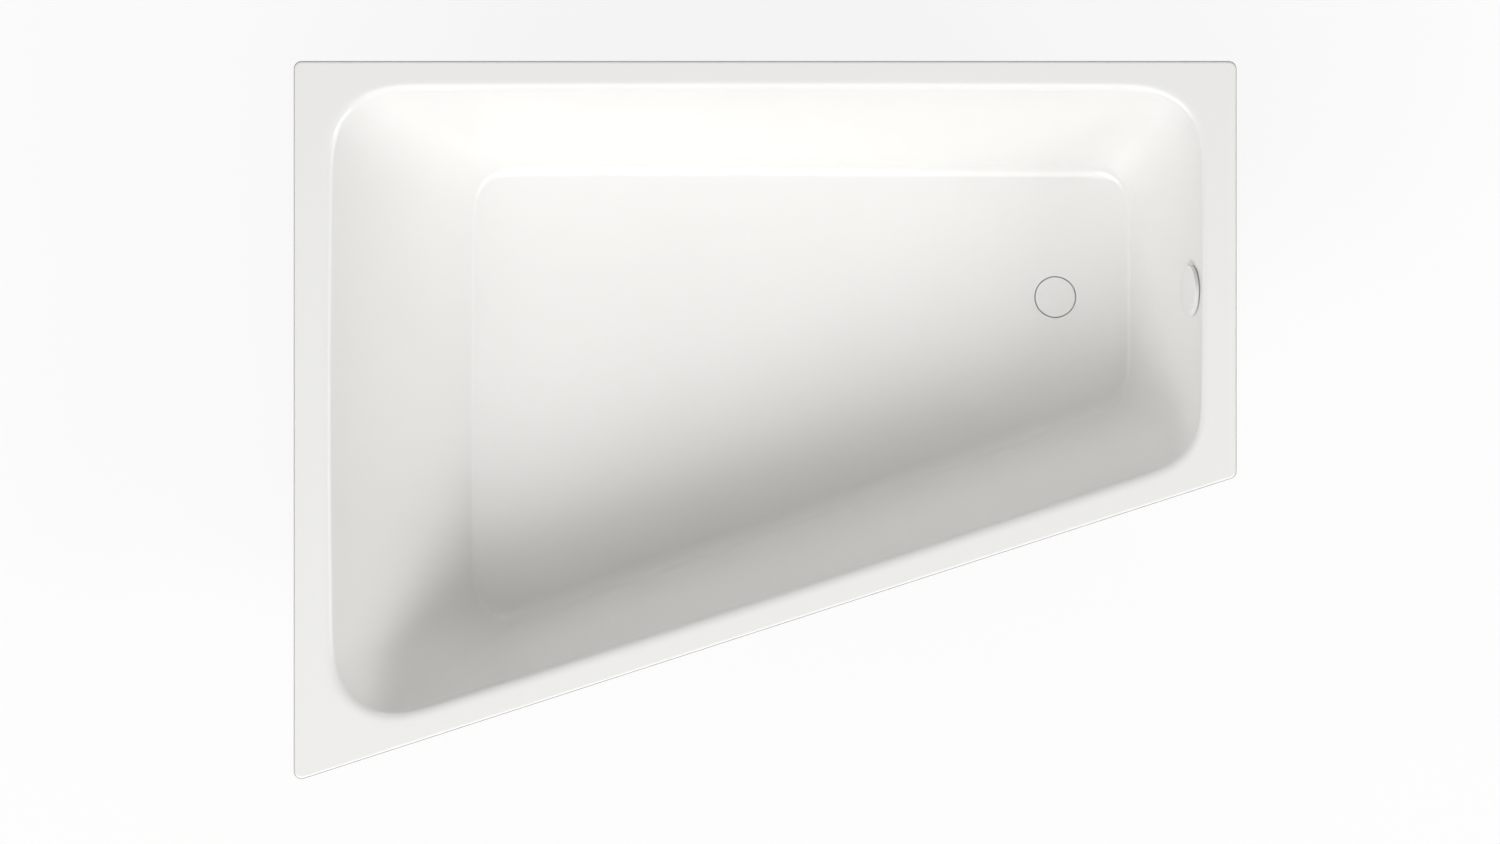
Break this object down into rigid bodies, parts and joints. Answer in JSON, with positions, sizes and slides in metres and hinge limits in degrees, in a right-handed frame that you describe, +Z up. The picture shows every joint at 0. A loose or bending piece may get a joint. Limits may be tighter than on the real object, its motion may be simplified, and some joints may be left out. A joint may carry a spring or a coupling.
{
  "type": "bathtub",
  "caption": "Built-in steel bathtub with a right-angled trapezoid plan, flat rim, flush drain cap, overflow knob, trap and levelling feet.",
  "frame": {"origin": "on the room's floor, below the middle of the rim's bounding rectangle", "axes": "+X from the wide head end to the narrow foot end, +Y towards the straight back wall, +Z up"},
  "size_m": [1.7, 1.2948, 0.6],
  "materials": {
    "enamel": "glossy white vitreous enamel on steel sheet",
    "cover_enamel": "glossy white enamelled cap",
    "knob_white": "glossy white",
    "galvanised": "zinc-plated steel",
    "chrome": "polished chrome",
    "screw_steel": "stainless steel",
    "white_plastic": "moulded polypropylene",
    "grey_plastic": "moulded polypropylene",
    "black_plastic": "moulded nylon",
    "seal_rubber": "black rubber",
    "pad_rubber": "grey-black rubber",
    "bitumen": "bitumen felt",
    "saddle_foam": "dense rubber block"
  },
  "bodies": {
    "tub": {"tub_shell": "enamel", "floor_mat": "bitumen", "head_wall_mat": "bitumen", "back_wall_mat": "bitumen", "front_wall_mat": "bitumen", "earth_lug": "galvanised", "head_rail": "galvanised", "foot_rail": "galvanised", "head_rail_saddles": "saddle_foam", "foot_rail_saddles": "saddle_foam", "rail_nuts": "galvanised", "lock_nuts": "galvanised", "drain_seat": "chrome", "seat_gasket": "seal_rubber", "seat_screws": "screw_steel", "waste_gasket": "seal_rubber", "waste_body": "white_plastic", "trap_body": "white_plastic", "trap_seal": "seal_rubber", "trap_nut": "grey_plastic", "outlet_pipe": "white_plastic", "outlet_nut": "grey_plastic", "outlet_seal": "seal_rubber", "overflow_bracket": "chrome", "bracket_seal": "seal_rubber", "overflow_screws": "screw_steel", "overflow_gasket": "seal_rubber", "overflow_body": "white_plastic", "overflow_pipe": "white_plastic", "upper_pipe_nut": "grey_plastic", "lower_pipe_nut": "grey_plastic", "upper_pipe_seal": "seal_rubber", "lower_pipe_seal": "seal_rubber", "cable_sheath": "black_plastic", "cable_ferrules": "black_plastic"},
    "knob": {"overflow_knob": "knob_white", "knob_shaft": "screw_steel", "cable_crank": "black_plastic"},
    "lift_pin": {"lift_pin": "black_plastic"},
    "plug": {"drain_cover": "cover_enamel", "plug_body": "white_plastic", "plug_seal": "seal_rubber"},
    "foot_head_front": {"foot_plate_head_front": "galvanised", "foot_pad_head_front": "pad_rubber"},
    "spindle_head_front": {"foot_spindle_head_front": "galvanised"},
    "foot_head_back": {"foot_plate_head_back": "galvanised", "foot_pad_head_back": "pad_rubber"},
    "spindle_head_back": {"foot_spindle_head_back": "galvanised"},
    "foot_foot_front": {"foot_plate_foot_front": "galvanised", "foot_pad_foot_front": "pad_rubber"},
    "spindle_foot_front": {"foot_spindle_foot_front": "galvanised"},
    "foot_foot_back": {"foot_plate_foot_back": "galvanised", "foot_pad_foot_back": "pad_rubber"},
    "spindle_foot_back": {"foot_spindle_foot_back": "galvanised"}
  },
  "joints": [
    {"name": "lift_pin_slide", "type": "slide", "parent": "tub", "child": "lift_pin", "axis": [0, 0, 1], "range_m": [0, 0.01]},
    {"name": "overflow_knob_turn", "type": "hinge", "parent": "tub", "child": "knob", "pos_m": [0.77099, 0.23338, 0.538], "axis": [-0.9562, 0, 0.2927], "range_deg": [0, 90.1]},
    {"name": "plug_lift", "type": "slide", "parent": "lift_pin", "child": "plug", "axis": [0, 0, 1], "range_m": [0, 0.06]},
    {"name": "foot_level_head_front", "type": "slide", "parent": "tub", "child": "foot_head_front", "axis": [0, 0, 1], "range_m": [-0.012, 0.012]},
    {"name": "spindle_turn_head_front", "type": "hinge", "parent": "foot_head_front", "child": "spindle_head_front", "pos_m": [-0.34, -0.22252, 0], "axis": [0, 0, 1], "range_deg": [-2881, 2881]},
    {"name": "foot_level_head_back", "type": "slide", "parent": "tub", "child": "foot_head_back", "axis": [0, 0, 1], "range_m": [-0.012, 0.012]},
    {"name": "spindle_turn_head_back", "type": "hinge", "parent": "foot_head_back", "child": "spindle_head_back", "pos_m": [-0.34, 0.36108, 0], "axis": [0, 0, 1], "range_deg": [-2881, 2881]},
    {"name": "foot_level_foot_front", "type": "slide", "parent": "tub", "child": "foot_foot_front", "axis": [0, 0, 1], "range_m": [-0.012, 0.012]},
    {"name": "spindle_turn_foot_front", "type": "hinge", "parent": "foot_foot_front", "child": "spindle_foot_front", "pos_m": [0.29, 0.00155, 0], "axis": [0, 0, 1], "range_deg": [-2881, 2881]},
    {"name": "foot_level_foot_back", "type": "slide", "parent": "tub", "child": "foot_foot_back", "axis": [0, 0, 1], "range_m": [-0.012, 0.012]},
    {"name": "spindle_turn_foot_back", "type": "hinge", "parent": "foot_foot_back", "child": "spindle_foot_back", "pos_m": [0.29, 0.36256, 0], "axis": [0, 0, 1], "range_deg": [-2881, 2881]}
  ],
  "couplings": [
    {"joint": "overflow_knob_turn", "follows": "lift_pin_slide", "rad_per_m": 157.08},
    {"joint": "spindle_turn_head_front", "follows": "foot_level_head_front", "rad_per_m": 4188.8},
    {"joint": "spindle_turn_head_back", "follows": "foot_level_head_back", "rad_per_m": 4188.8},
    {"joint": "spindle_turn_foot_front", "follows": "foot_level_foot_front", "rad_per_m": 4188.8},
    {"joint": "spindle_turn_foot_back", "follows": "foot_level_foot_back", "rad_per_m": 4188.8}
  ]
}
